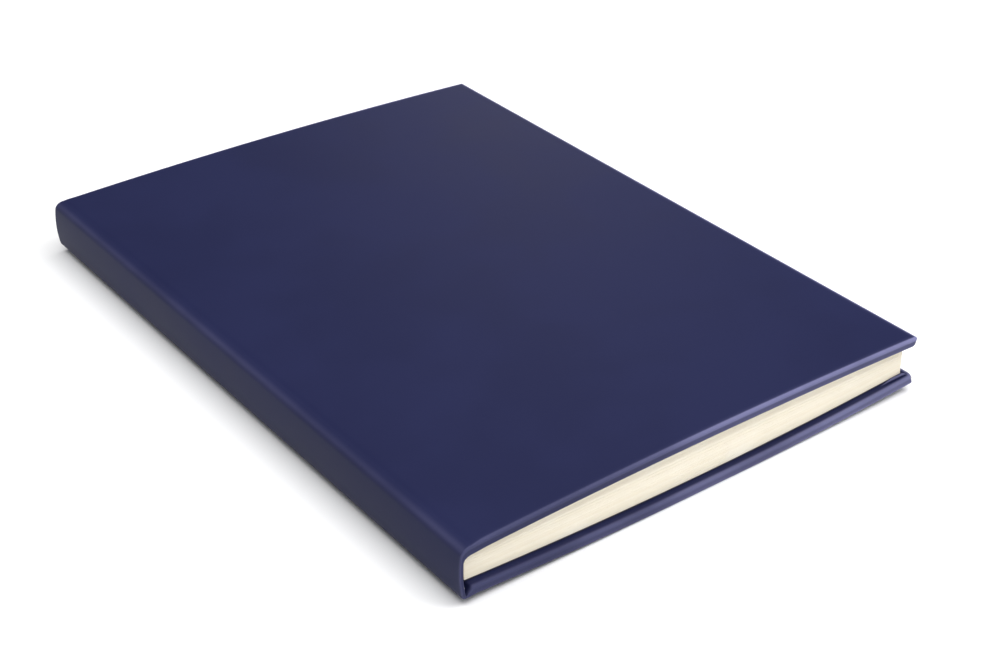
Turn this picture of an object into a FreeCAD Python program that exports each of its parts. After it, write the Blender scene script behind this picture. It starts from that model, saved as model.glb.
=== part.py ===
"""Hardcover pilot logbook: a case-bound book of twelve sewn sections.

Frame: origin on the table under the middle of the closed book, +X from the spine to the
fore-edge, +Y from tail to head, +Z up.  Millimetres.  The boards are slightly bowed, so
the back cover rests on a narrow flat strip along the middle of its belly.

Every piece is the same all along Y, so each one is a closed outline in the XZ plane
extruded evenly to both sides of it.
"""
import FreeCAD, Part
import math
import os

import Sketcher
from FreeCAD import Vector

LAST_SECTION = 12
FLAT_SECTION = 7          # the parting above this section is flat when the book is closed
THREAD_STATIONS = 6

DIMENSIONS = {
    "cover_length": 216.0,        # head to tail, over the covering
    "spine_face_x": -76.6,        # upper and lower edges of the spine's outer face
    "fore_face_x": 77.4,          # fore-edge of both covers
    "overall_height": 18.64,      # table to the top of the front cover's crown
    "crown_offset": 6.8,          # the crown lies a little towards the fore-edge
    "crown_radius": 2044.0,       # outward bow of the front cover
    "belly_radius": 1219.0,       # outward bow of the back cover
    "belly_flat": 30.0,           # width of the flat strip the book rests on
    "spine_bulge": 0.8,           # outward bow of the spine strip
    "leatherette": 0.37,
    "board": 2.0,
    "spine_card": 0.5,
    "paper": 0.15,                # pastedowns and flyleaves
    "leaf_gap": 0.05,             # air between neighbouring sections
    "board_setback": 1.8,         # spine face to the near end of each board
    "turn_in": 15.0,              # covering folded over the inside of the boards
    "square": 2.75,               # covers proud of the leaves on three sides
    "leaf_width": 149.0,
    "thread": 0.24,               # diameter of the sewing thread
    "mull": 0.25,
    "lining": 0.2,
    "back_layer_gap": 0.04,       # glue line between the layers on the block's back
    "mull_length": 180.0,
    "hinge_gap": 0.08,            # strip's end to the rolled covering at each joint
    "stitch_end": 0.3,            # link stitches stop short of the outer folds
    "lining_setback": 3.0,        # each end of the spine lining to the end of the leaves
    "cutter_reach": 1.0,          # how far a cutting shape runs past the face it cuts
    "trim_block": 5.0,            # size of the trimming block beyond the belly
}


class Dim:
    """A number together with the sheet expression that yields it."""

    def __init__(self, value, text):
        self.value = float(value)
        self.text = text

    def __add__(self, other):
        other = dim(other)
        return Dim(self.value + other.value, f"({self.text} + {other.text})")

    def __sub__(self, other):
        other = dim(other)
        return Dim(self.value - other.value, f"({self.text} - {other.text})")

    def __mul__(self, other):
        other = dim(other)
        return Dim(self.value * other.value, f"({self.text} * {other.text})")

    def __truediv__(self, other):
        other = dim(other)
        return Dim(self.value / other.value, f"({self.text} / {other.text})")

    def __neg__(self):
        return dim(0) - self


def dim(number):
    """Wrap a plain number as a Dim."""
    return number if isinstance(number, Dim) else Dim(number, repr(float(number)))


def root(d):
    """Square root of a Dim."""
    return Dim(math.sqrt(d.value), f"sqrt({d.text})")


# ---------------------------------------------------------------- document and sheet

doc = FreeCAD.newDocument("logbook")
sheet = doc.addObject("Spreadsheet::Sheet", "Sheet")


def fill_sheet():
    """Write the driving dimensions and return them as Dims."""
    driving = {}
    for row, (alias, value) in enumerate(DIMENSIONS.items(), start=1):
        sheet.set(f"A{row}", alias)
        sheet.set(f"B{row}", str(value))
        sheet.setAlias(f"B{row}", alias)
        driving[alias] = Dim(value, f"Sheet.{alias}")
    doc.recompute()
    return driving


D = fill_sheet()


# ---------------------------------------------------------------- outlines

class Line:
    """A straight side of an outline."""


class Bow:
    """A shallow arc side: bow is its height at the middle, positive to the side's left."""

    def __init__(self, bow):
        self.bow = bow


class Nose:
    """A half-round side, bulging to the side's right."""


def plane_of(body, role):
    """The body's own origin plane with this role."""
    return next(f for f in body.Origin.OriginFeatures if f.Role == role)


def side_curve(side, start, end):
    """The sketch curve of one side, and which of its points are the side's start and end.

    A sketch counts an arc's points anticlockwise, so a side that bulges to its left runs
    from the arc's second point to its first.
    """
    a = Vector(start[0].value, start[1].value, 0)
    b = Vector(end[0].value, end[1].value, 0)
    if isinstance(side, Line):
        return Part.LineSegment(a, b), (1, 2)
    along = b - a
    left = Vector(-along.y, along.x, 0).normalize()
    height = -along.Length / 2 if isinstance(side, Nose) else side.bow.value
    middle = (a + b) * 0.5 + left * height
    if height > 0:
        return Part.Arc(b, middle, a), (2, 1)
    return Part.Arc(a, middle, b), (1, 2)


def bind(sketch, name, constraint, expression):
    """Add a named dimension to the sketch and drive it from the sheet."""
    index = sketch.addConstraint(Sketcher.Constraint(*constraint))
    sketch.renameConstraint(index, name)
    sketch.setExpression(f"Constraints.{name}", expression)


def span(start, end):
    """Straight distance between two corners."""
    run, rise = end[0] - start[0], end[1] - start[1]
    return root(run * run + rise * rise)


def arc_centre(bow, start, end):
    """Centre of the arc over a side, from its corners and its height at the middle."""
    run, rise = end[0] - start[0], end[1] - start[1]
    length = span(start, end)
    radius = (length * length / 4 + bow * bow) / (bow * 2)
    offset = (bow - radius) / length
    return (start[0] + end[0]) / 2 - rise * offset, (start[1] + end[1]) / 2 + run * offset


def free_coordinate(sides, corners, corner):
    """The coordinate of a corner that the centre of a bowed side already settles."""
    for side, far_corner in ((0, 1), (2, 2)):
        if corner == far_corner and isinstance(sides[side], Bow):
            start, end = corners[side], corners[side + 1]
            level = abs(end[0].value - start[0].value) > abs(end[1].value - start[1].value)
            return "z" if level else "x"
    return None


def outline(body, corners, sides):
    """Sketch a closed outline in the body's XZ plane, every corner driven by the sheet."""
    sketch = body.newObject("Sketcher::SketchObject", f"{body.Name}_outline")
    sketch.AttachmentSupport = [(plane_of(body, "XZ_Plane"), "")]
    sketch.MapMode = "FlatFace"
    count = len(corners)
    ends = []
    for i, side in enumerate(sides):
        curve, points = side_curve(side, corners[i], corners[(i + 1) % count])
        sketch.addGeometry(curve, False)
        ends.append(points)
    for i in range(count):
        following = (i + 1) % count
        sketch.addConstraint(
            Sketcher.Constraint("Coincident", i, ends[i][1], following, ends[following][0])
        )
    for i, (x, z) in enumerate(corners):
        free = free_coordinate(sides, corners, i)
        if free != "x":
            bind(sketch, f"x{i}", ("DistanceX", -1, 1, i, ends[i][0], x.value), x.text)
        if free != "z":
            bind(sketch, f"z{i}", ("DistanceY", -1, 1, i, ends[i][0], z.value), z.text)
    for i, side in enumerate(sides):
        start, end = corners[i], corners[(i + 1) % count]
        if isinstance(side, Bow):
            x, z = arc_centre(side.bow, start, end)
            bind(sketch, f"centre_x{i}", ("DistanceX", -1, 1, i, 3, x.value), x.text)
            bind(sketch, f"centre_z{i}", ("DistanceY", -1, 1, i, 3, z.value), z.text)
        if isinstance(side, Nose):
            x = start[0]
            bind(sketch, f"centre_x{i}", ("DistanceX", -1, 1, i, 3, x.value), x.text)
    return sketch


def extruded(name, corners, sides, length):
    """A body: the outline extruded evenly to both sides of the XZ plane."""
    body = doc.addObject("PartDesign::Body", name)
    body.Label = name
    sketch = outline(body, corners, sides)
    pad = body.newObject("PartDesign::Pad", f"{name}_pad")
    pad.Profile = sketch
    pad.Midplane = True
    pad.setExpression("Length", length.text)
    body.Tip = pad
    return body


def cut(name, base, tool):
    """Base minus tool, under its own label."""
    result = doc.addObject("Part::Cut", name)
    result.Label = name
    result.Base = base
    result.Tool = tool
    return result


# ---------------------------------------------------------------- the two cover surfaces

class Surface:
    """A shallow circular arc in the XZ plane: the outer face of one cover.

    sign is +1 when the middle is the lowest point and -1 when it is the highest.
    """

    def __init__(self, middle_x, middle_z, radius, sign):
        self.middle_x = middle_x
        self.middle_z = middle_z
        self.radius = radius
        self.sign = sign

    def rise(self, half):
        """Height of the arc's ends against its middle, half a chord away."""
        return self.radius - root(self.radius * self.radius - half * half)

    def at(self, x, inward):
        """The point of the surface at x, moved inward through the cover."""
        z = self.middle_z + (self.rise(x - self.middle_x) + inward) * self.sign
        return (x, z)

    def bow(self, x0, x1):
        """Height of the arc over the chord from x0 to x1."""
        return self.rise(span(self.at(x0, dim(0)), self.at(x1, dim(0))) / 2)


belly = Surface(
    dim(0),
    root(D["belly_radius"] * D["belly_radius"] - D["belly_flat"] * D["belly_flat"] / 4)
    - D["belly_radius"],
    D["belly_radius"],
    1,
)
crown = Surface(D["crown_offset"], D["overall_height"], D["crown_radius"], -1)

cover_thickness = D["leatherette"] * 2 + D["board"]
nose_radius = cover_thickness / 2
joint_x = D["spine_face_x"] + nose_radius
board_start_x = D["spine_face_x"] + D["board_setback"]
board_end_x = D["fore_face_x"] - D["leatherette"]
leaf_fore_x = D["fore_face_x"] - D["square"]
leaf_back_x = leaf_fore_x - D["leaf_width"]
board_length = D["cover_length"] - D["leatherette"] * 2
leaf_length = D["cover_length"] - D["square"] * 2
window_end_x = D["fore_face_x"] - D["turn_in"]
window_length = D["cover_length"] - D["turn_in"] * 2


def plate(name, surface, x0, x1, outer, inner, length, nose=False):
    """A bowed plate of a cover, between two depths under the cover's outer face."""
    corners = [
        surface.at(x0, outer),
        surface.at(x1, outer),
        surface.at(x1, inner),
        surface.at(x0, inner),
    ]
    bow = surface.bow(x0, x1)
    sides = [Bow(-bow), Line(), Bow(bow), Nose() if nose else Line()]
    if surface.sign < 0:
        # under the crown the inner face is the lower one: go round the other way
        corners = [corners[3], corners[2], corners[1], corners[0]]
        sides = [Bow(bow), Line(), Bow(-bow), Nose() if nose else Line()]
    return extruded(name, corners, sides, length)


# ---------------------------------------------------------------- case

def board(side, surface):
    """Greyboard of one cover."""
    return plate(f"{side}_board", surface, board_start_x, board_end_x,
                 D["leatherette"], D["leatherette"] + D["board"], board_length)


def covering(side, surface, board_piece, rest=None):
    """Leatherette round one board: outer skin, wrapped edges, turn-ins and rolled joint."""
    skin = plate(f"{side}_skin", surface, joint_x, D["fore_face_x"], dim(0), cover_thickness,
                 D["cover_length"], nose=True)
    window = plate(f"{side}_window", surface, board_start_x, window_end_x,
                   D["leatherette"] + D["board"], cover_thickness + D["cutter_reach"],
                   window_length)
    label = f"{side}_cover_leatherette"
    around_board = cut(f"{side}_skin_round_board", skin, board_piece)
    if rest is None:
        return cut(label, around_board, window)
    return cut(label, cut(f"{side}_skin_open", around_board, window), rest)


def pastedown(side, surface, leatherette):
    """Endpaper pasted over the board and the turn-ins, dipping inside their edges."""
    board_face = D["leatherette"] + D["board"]
    sheet_top = cover_thickness + D["paper"]
    block = plate(f"{side}_paste_block", surface, leaf_back_x, leaf_fore_x, board_face,
                  sheet_top, leaf_length)
    dip = plate(f"{side}_paste_dip", surface, leaf_back_x - D["cutter_reach"],
                window_end_x - D["paper"], board_face + D["paper"],
                sheet_top + D["cutter_reach"], window_length - D["paper"] * 2)
    return cut(f"{side}_pastedown", cut(f"{side}_paste_sheet", block, leatherette), dip)


def below_table():
    """A block under the table plane: trims the belly flat where the book rests."""
    block = doc.addObject("Part::Box", "below_table")
    block.setExpression("Length", (D["belly_flat"] * 2).text)
    width = D["cover_length"] + D["trim_block"] * 2
    block.setExpression("Width", width.text)
    block.setExpression("Height", D["trim_block"].text)
    block.setExpression("Placement.Base.x", (-D["belly_flat"]).text)
    block.setExpression("Placement.Base.y", (-width / 2).text)
    block.setExpression("Placement.Base.z", (-D["trim_block"]).text)
    return block


def spine_plate(name, outer, inner, low, high, length):
    """A bowed upright plate of the spine, between two depths under its outer face."""
    corners = [
        (D["spine_face_x"] + inner, low),
        (D["spine_face_x"] + inner, high),
        (D["spine_face_x"] + outer, high),
        (D["spine_face_x"] + outer, low),
    ]
    bulge = D["spine_bulge"]
    return extruded(name, corners, [Bow(bulge), Line(), Bow(-bulge), Line()], length)


def spine_pieces():
    """The card stiffener of the spine and the covering round it."""
    reach = nose_radius + D["hinge_gap"]
    low = belly.at(joint_x, nose_radius)[1] + reach
    high = crown.at(joint_x, nose_radius)[1] - reach
    card_in = D["leatherette"] + D["spine_card"]
    card = spine_plate("spine_stiffener", D["leatherette"], card_in, low, high, board_length)
    skin = spine_plate("spine_skin", dim(0), card_in + D["leatherette"], low, high,
                       D["cover_length"])
    past = D["cutter_reach"]
    window = spine_plate("spine_window", card_in, card_in + past, low - past, high + past,
                         window_length)
    leatherette = cut("spine_leatherette", cut("spine_skin_round_card", skin, card), window)
    return [card, leatherette]


def case():
    """Both covers and the spine strip."""
    back_board = board("back", belly)
    back_leatherette = covering("back", belly, back_board, below_table())
    front_board = board("front", crown)
    front_leatherette = covering("front", crown, front_board)
    return [
        back_board,
        back_leatherette,
        pastedown("back", belly, back_leatherette),
        front_board,
        front_leatherette,
        pastedown("front", crown, front_leatherette),
    ] + spine_pieces()


# ---------------------------------------------------------------- text block

sheet_depth = cover_thickness + D["paper"]
flyleaf_outer = sheet_depth + D["leaf_gap"]
flyleaf_inner = flyleaf_outer + D["paper"]
block_depth = flyleaf_inner + D["leaf_gap"] / 2


def flyleaf(side, surface):
    """The free half of one endpaper."""
    return plate(f"{side}_flyleaf", surface, leaf_back_x, leaf_fore_x, flyleaf_outer,
                 flyleaf_inner, leaf_length)


def parting(level):
    """Surface between two sections: its height at the back, at the fore-edge, its bow."""
    share = level / LAST_SECTION
    low_back, low_fore = belly.at(leaf_back_x, block_depth), belly.at(leaf_fore_x, block_depth)
    high_back, high_fore = crown.at(leaf_back_x, block_depth), crown.at(leaf_fore_x, block_depth)
    at_back = low_back[1] * (1 - share) + high_back[1] * share
    at_fore = low_fore[1] * (1 - share) + high_fore[1] * share
    if level < FLAT_SECTION:
        bow = -belly.bow(leaf_back_x, leaf_fore_x) * (1 - level / FLAT_SECTION)
    else:
        rank = (level - FLAT_SECTION) / (LAST_SECTION - FLAT_SECTION)
        bow = crown.bow(leaf_back_x, leaf_fore_x) * rank
    return at_back, at_fore, bow


def leaf_side(bow):
    """A bowed or a flat side."""
    return Bow(bow) if abs(bow.value) > 1e-9 else Line()


def section(number):
    """One folded section, from the parting below it to the parting above."""
    low_back, low_fore, low_bow = parting(number - 1)
    high_back, high_fore, high_bow = parting(number)
    half_gap = D["leaf_gap"] / 2
    corners = [
        (leaf_back_x, low_back + half_gap),
        (leaf_fore_x, low_fore + half_gap),
        (leaf_fore_x, high_fore - half_gap),
        (leaf_back_x, high_back - half_gap),
    ]
    sides = [leaf_side(low_bow), Line(), leaf_side(-high_bow), Line()]
    return extruded(f"section_{number:02d}", corners, sides, leaf_length)


def back_layer(name, distance, thickness, trim, length):
    """A flat strip glued over the folds, a distance behind them."""
    low, high = parting(0)[0] + trim, parting(LAST_SECTION)[0] - trim
    near, far = leaf_back_x - distance, leaf_back_x - distance - thickness
    corners = [(far, low), (near, low), (near, high), (far, high)]
    return extruded(name, corners, [Line()] * 4, length)


def sewing_thread():
    """Link stitches over the folds, one at each sewing station."""
    stitches = []
    step = D["mull_length"] / THREAD_STATIONS
    low = parting(0)[0] + D["stitch_end"]
    high = parting(LAST_SECTION)[0] - D["stitch_end"]
    for station in range(THREAD_STATIONS):
        stitch = doc.addObject("Part::Cylinder", f"link_stitch_{station + 1}")
        y = step * (station + 0.5 - THREAD_STATIONS / 2)
        x = leaf_back_x - D["back_layer_gap"] - D["thread"] / 2
        stitch.setExpression("Radius", (D["thread"] / 2).text)
        stitch.setExpression("Height", (high - low).text)
        stitch.setExpression("Placement.Base.x", x.text)
        stitch.setExpression("Placement.Base.y", y.text)
        stitch.setExpression("Placement.Base.z", low.text)
        stitches.append(stitch)
    thread = doc.addObject("Part::Compound", "sewing_thread")
    thread.Label = "sewing_thread"
    thread.Links = stitches
    return thread


def text_block():
    """Flyleaves, sections, and what holds the sections together at the back."""
    sections = [section(number) for number in range(1, LAST_SECTION + 1)]
    mull_distance = D["thread"] + D["back_layer_gap"] * 2
    lining_distance = mull_distance + D["mull"] + D["back_layer_gap"]
    return [flyleaf("back", belly)] + sections + [
        flyleaf("front", crown),
        sewing_thread(),
        back_layer("mull", mull_distance, D["mull"], dim(0), D["mull_length"]),
        back_layer("spine_lining", lining_distance, D["lining"], D["paper"] * 2,
                   leaf_length - D["lining_setback"] * 2),
    ]


# ---------------------------------------------------------------- check and write

def check(pieces):
    """Stop if any object failed or any sub-part is empty, invalid or misnamed."""
    for item in doc.Objects:
        if "Invalid" in item.State or "Error" in item.State:
            raise RuntimeError(f"{item.Label} failed: {item.State}")
    for piece in pieces:
        if piece.Shape.isNull() or not piece.Shape.isValid() or not piece.Shape.Solids:
            raise RuntimeError(f"{piece.Label} has no valid solid")
    if len({piece.Label for piece in pieces}) != len(pieces):
        raise RuntimeError("two sub-parts share a label")


def write(pieces):
    """Write each sub-part to parts/ under its label."""
    os.makedirs("parts", exist_ok=True)
    for piece in pieces:
        piece.Shape.exportStep(f"parts/{piece.Label}.step")
        box = piece.Shape.BoundBox
        print(f"{piece.Label:26s} {len(piece.Shape.Solids)} solid(s) {piece.Shape.Volume:10.1f} mm3"
              f"  x {box.XMin:7.2f} {box.XMax:7.2f}  z {box.ZMin:6.2f} {box.ZMax:6.2f}")


def print_joints():
    """Print the hinge lines, which the joints of the assembly turn about."""
    back_joint = belly.at(joint_x, nose_radius)
    front_joint = crown.at(joint_x, nose_radius)
    print(f"back joint {back_joint[0].value:.3f} {back_joint[1].value:.3f}")
    print(f"front joint {front_joint[0].value:.3f} {front_joint[1].value:.3f}")
    below = belly.at(leaf_back_x, sheet_depth + D["leaf_gap"] / 2)[1].value
    above = crown.at(leaf_back_x, sheet_depth + D["leaf_gap"] / 2)[1].value
    levels = [below] + [parting(level)[0].value for level in range(LAST_SECTION + 1)] + [above]
    print("leaf hinges x", round(leaf_back_x.value, 3), "z", [round(z, 3) for z in levels])


sub_parts = case() + text_block()
doc.recompute()
check(sub_parts)
write(sub_parts)
print_joints()
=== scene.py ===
"""Visible model of a hardcover pilot logbook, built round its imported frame.

Millimetres are used for every size below and turned into metres when a mesh is made.
Frame: +X from the spine to the fore-edge, +Y from tail to head, +Z up, with the origin on
the table under the middle of the closed book.
"""
import logging
import math
from dataclasses import dataclass, field
from enum import Enum
from functools import cached_property
from typing import Callable, Optional, Sequence

import bmesh
import bpy
from mathutils import Matrix, Vector, noise


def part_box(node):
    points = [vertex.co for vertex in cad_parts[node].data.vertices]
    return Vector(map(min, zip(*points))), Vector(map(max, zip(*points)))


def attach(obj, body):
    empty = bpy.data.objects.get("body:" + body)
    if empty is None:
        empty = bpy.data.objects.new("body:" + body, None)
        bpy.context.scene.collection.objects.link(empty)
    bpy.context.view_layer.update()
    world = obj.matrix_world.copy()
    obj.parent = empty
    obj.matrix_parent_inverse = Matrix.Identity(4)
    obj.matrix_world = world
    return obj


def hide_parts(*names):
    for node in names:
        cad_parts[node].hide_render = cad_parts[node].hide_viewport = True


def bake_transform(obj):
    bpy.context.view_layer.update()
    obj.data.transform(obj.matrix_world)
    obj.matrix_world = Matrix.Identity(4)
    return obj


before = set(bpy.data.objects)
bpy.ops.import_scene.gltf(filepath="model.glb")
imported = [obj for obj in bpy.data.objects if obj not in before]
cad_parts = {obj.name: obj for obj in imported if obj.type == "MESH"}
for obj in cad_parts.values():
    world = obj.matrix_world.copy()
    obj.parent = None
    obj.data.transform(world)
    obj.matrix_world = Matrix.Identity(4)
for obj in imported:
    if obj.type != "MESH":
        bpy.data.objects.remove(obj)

LOG = logging.getLogger("logbook")
MM = 0.001
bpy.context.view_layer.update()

Point = tuple[float, float]
Point3 = tuple[float, float, float]
Colour = tuple[float, float, float, float]
Rows = list[list[bmesh.types.BMVert]]
Surface2 = Callable[[float, float], float]


class Slot(Enum):
    """Material slots of the record."""

    LEATHERETTE = "leatherette"
    GREYBOARD = "greyboard"
    SPINE_CARD = "spine_card"
    ENDPAPER = "endpaper"
    LEAVES = "leaves"
    THREAD = "thread"
    MULL = "mull"
    KRAFT = "kraft_paper"


class Side(Enum):
    """The two covers of the case."""

    BACK = "back"
    FRONT = "front"


# ------------------------------------------------------------------ small helpers

def smooth(t: float) -> float:
    """Smoothstep of t, held between 0 and 1."""
    t = min(max(t, 0.0), 1.0)
    return t * t * (3.0 - 2.0 * t)


def lerp(a: float, b: float, t: float) -> float:
    """Value between a and b at t."""
    return a + (b - a) * t


def steps(a: float, b: float, count: int) -> list[float]:
    """Evenly spaced values from a to b, both included.

    Args:
        a: First value.
        b: Last value.
        count: Number of spaces between them.

    Returns:
        count + 1 values.
    """
    return [lerp(a, b, i / count) for i in range(count + 1)]


def arc(centre: Point, radius: float, start: float, end: float, count: int) -> list[Point]:
    """Points of an arc, angles in degrees.

    Args:
        centre: Centre of the arc.
        radius: Its radius.
        start: First angle.
        end: Last angle.
        count: Number of spaces between the points.

    Returns:
        count + 1 points.
    """
    return [
        (centre[0] + radius * math.cos(math.radians(a)),
         centre[1] + radius * math.sin(math.radians(a)))
        for a in steps(start, end, count)
    ]


def bezier(a: Point, b: Point, c: Point, d: Point, count: int) -> list[Point]:
    """Points of a cubic curve.

    Args:
        a: Start.
        b: Handle of the start.
        c: Handle of the end.
        d: End.
        count: Number of spaces between the points.

    Returns:
        count + 1 points.
    """
    out = []
    for t in steps(0.0, 1.0, count):
        u = 1.0 - t
        weights = (u ** 3, 3 * u * u * t, 3 * u * t * t, t ** 3)
        out.append(tuple(sum(w * p[k] for w, p in zip(weights, (a, b, c, d))) for k in (0, 1)))
    return out


def resample(path: Sequence[Point], count: int) -> list[Point]:
    """Points evenly spaced along a path.

    Args:
        path: Corner points of the path.
        count: Number of spaces wanted.

    Returns:
        count + 1 points, the first and last of them those of the path.
    """
    lengths = [0.0]
    for a, b in zip(path, path[1:]):
        lengths.append(lengths[-1] + math.dist(a, b))
    out, k = [], 0
    for target in steps(0.0, lengths[-1], count):
        while k < len(path) - 2 and lengths[k + 1] < target:
            k += 1
        piece = lengths[k + 1] - lengths[k] or 1.0
        t = (target - lengths[k]) / piece
        out.append((lerp(path[k][0], path[k + 1][0], t), lerp(path[k][1], path[k + 1][1], t)))
    return out


def finish_mesh(obj: bpy.types.Object, body: Optional[str],
                material: bpy.types.Material, crease: float = 40.0) -> bpy.types.Object:
    """Shade a mesh smoothly, dress it and let it ride.

    Args:
        obj: The piece.
        body: Body that it rides on, or None for a piece that is left unattached.
        material: Its finish.
        crease: Angle in degrees above which an edge stays sharp.

    Returns:
        The same piece.
    """
    mesh = obj.data
    mesh.polygons.foreach_set("use_smooth", [True] * len(mesh.polygons))
    mesh.set_sharp_from_angle(angle=math.radians(crease))
    mesh.materials.clear()
    mesh.materials.append(material)
    if body is not None:
        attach(obj, body)
    LOG.info("%s: %d faces on %s", obj.name, len(mesh.polygons), body or "two bodies")
    return obj


def metres(point: Point3) -> Point3:
    """A point in millimetres as metres."""
    return tuple(c * MM for c in point)


def mesh_object(name: str, bm: bmesh.types.BMesh) -> bpy.types.Object:
    """Turn a bmesh in millimetres into an object in metres at the origin.

    Args:
        name: Name of the object and its mesh.
        bm: The bmesh, which is freed.

    Returns:
        The object, linked to the scene.
    """
    bmesh.ops.scale(bm, vec=Vector((MM, MM, MM)), verts=bm.verts)
    mesh = bpy.data.meshes.new(name)
    bm.to_mesh(mesh)
    bm.free()
    obj = bpy.data.objects.new(name, mesh)
    bpy.context.scene.collection.objects.link(obj)
    return obj


def sheet(bm: bmesh.types.BMesh, rows: Rows) -> None:
    """Join rows of points into an open sheet.

    Args:
        bm: The bmesh that holds the points.
        rows: Rows of equally many points.
    """
    for a, b in zip(rows, rows[1:]):
        for i in range(len(a) - 1):
            bm.faces.new((a[i], a[i + 1], b[i + 1], b[i]))


def tube(bm: bmesh.types.BMesh, rings: Rows) -> None:
    """Join rings of points into a tube with closed ends, its faces outwards.

    Args:
        bm: The bmesh that holds the points.
        rings: Rings of equally many points, without the first one repeated.
    """
    for a, b in zip(rings, rings[1:]):
        for i in range(len(a)):
            j = (i + 1) % len(a)
            bm.faces.new((a[i], a[j], b[j], b[i]))
    bm.faces.new(rings[0])
    bm.faces.new(rings[-1])
    bmesh.ops.recalc_face_normals(bm, faces=bm.faces)


# ------------------------------------------------------------------ node building

class Field:
    """A value socket of a node tree that takes part in arithmetic."""

    def __init__(self, tree: bpy.types.NodeTree, socket: bpy.types.NodeSocket) -> None:
        """Wrap an output socket of a tree."""
        self.tree = tree
        self.socket = socket

    def math(self, operation: str, *others: "Field | float", clamp: bool = False) -> "Field":
        """Result of a Math node with this value first.

        Args:
            operation: The node's operation.
            others: Further operands, fields or numbers.
            clamp: Whether the result is held between 0 and 1.

        Returns:
            The node's value.
        """
        node = self.tree.nodes.new("ShaderNodeMath")
        node.operation = operation
        node.use_clamp = clamp
        for i, operand in enumerate((self, *others)):
            if isinstance(operand, Field):
                self.tree.links.new(operand.socket, node.inputs[i])
            else:
                node.inputs[i].default_value = operand
        return Field(self.tree, node.outputs[0])

    def __add__(self, other: "Field | float") -> "Field":
        """Sum."""
        return self.math("ADD", other)

    def __sub__(self, other: "Field | float") -> "Field":
        """Difference."""
        return self.math("SUBTRACT", other)

    def __mul__(self, other: "Field | float") -> "Field":
        """Product."""
        return self.math("MULTIPLY", other)

    def __truediv__(self, other: "Field | float") -> "Field":
        """Quotient."""
        return self.math("DIVIDE", other)


class Tree:
    """A node tree under construction: a shader group, a material or Geometry Nodes."""

    def __init__(self, tree: bpy.types.NodeTree) -> None:
        """Take over a node tree."""
        self.tree = tree
        self.start: Optional[bpy.types.Node] = None

    @classmethod
    def group(cls, name: str, kind: str, inputs: dict[str, tuple], outputs: dict[str, str]
              ) -> "Tree":
        """New node group with named sockets.

        Args:
            name: Name of the group.
            kind: ShaderNodeTree or GeometryNodeTree.
            inputs: Socket name to its type and default value (None for no default).
            outputs: Socket name to its type.

        Returns:
            The tree, with its Group Input node as start.
        """
        tree = bpy.data.node_groups.new(name, kind)
        for label, (socket_type, default) in inputs.items():
            item = tree.interface.new_socket(label, in_out="INPUT", socket_type=socket_type)
            if default is not None:
                item.default_value = default
        for label, socket_type in outputs.items():
            tree.interface.new_socket(label, in_out="OUTPUT", socket_type=socket_type)
        built = cls(tree)
        built.start = tree.nodes.new("NodeGroupInput")
        return built

    def value(self, label: str) -> Field:
        """One of the group's inputs as a field."""
        return Field(self.tree, self.start.outputs[label])

    def add(self, kind: str, inputs: Optional[dict] = None, **settings: object
            ) -> bpy.types.Node:
        """Add a node.

        Args:
            kind: Its type.
            inputs: Input name, identifier or index to a number, a Field or a socket.
            settings: Properties of the node.

        Returns:
            The node.
        """
        node = self.tree.nodes.new(kind)
        for key, setting in settings.items():
            setattr(node, key, setting)
        for key, source in (inputs or {}).items():
            self.feed(node, key, source)
        return node

    def feed(self, node: bpy.types.Node, key: "str | int", source: object) -> None:
        """Set or link one input of a node, found by index, identifier or name."""
        if isinstance(key, int):
            socket = node.inputs[key]
        else:
            by_id = [s for s in node.inputs if s.identifier == key]
            socket = by_id[0] if by_id else node.inputs[key]
        if isinstance(source, Field):
            self.tree.links.new(source.socket, socket)
        elif isinstance(source, bpy.types.NodeSocket):
            self.tree.links.new(source, socket)
        else:
            socket.default_value = source

    def field(self, node: bpy.types.Node, output: "str | int" = 0) -> Field:
        """An output of a node as a field, found by index, identifier or name."""
        if isinstance(output, str):
            by_id = [s for s in node.outputs if s.identifier == output]
            return Field(self.tree, by_id[0] if by_id else node.outputs[output])
        return Field(self.tree, node.outputs[output])

    def mix(self, factor: object, a: object, b: object, blend: str = "MIX") -> Field:
        """Mix two colours.

        Args:
            factor: Share of the second colour.
            a: First colour.
            b: Second colour.
            blend: How they are mixed.

        Returns:
            The mixed colour.
        """
        node = self.add("ShaderNodeMix", data_type="RGBA", blend_type=blend)
        self.feed(node, "Factor_Float", factor)
        self.feed(node, "A_Color", a)
        self.feed(node, "B_Color", b)
        return self.field(node, "Result_Color")

    def remap(self, value: Field, low: float, high: float, to_low: float = 0.0,
              to_high: float = 1.0) -> Field:
        """Carry a value smoothly from one range to another and hold it inside.

        Args:
            value: The value.
            low: Start of its range.
            high: End of its range.
            to_low: Result at the start.
            to_high: Result at the end.

        Returns:
            The result.
        """
        node = self.add("ShaderNodeMapRange", {"Value": value, "From Min": low,
                                               "From Max": high, "To Min": to_low,
                                               "To Max": to_high},
                        interpolation_type="SMOOTHSTEP")
        return self.field(node)

    def finish(self, **outputs: object) -> bpy.types.NodeTree:
        """Link the group's outputs.

        Args:
            outputs: Output name, underscores read as spaces, to its source.

        Returns:
            The finished tree.
        """
        end = self.tree.nodes.new("NodeGroupOutput")
        for label, source in outputs.items():
            self.feed(end, label.replace("_", " "), source)
        return self.tree


# ------------------------------------------------------------------ shared shader effects

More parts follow.
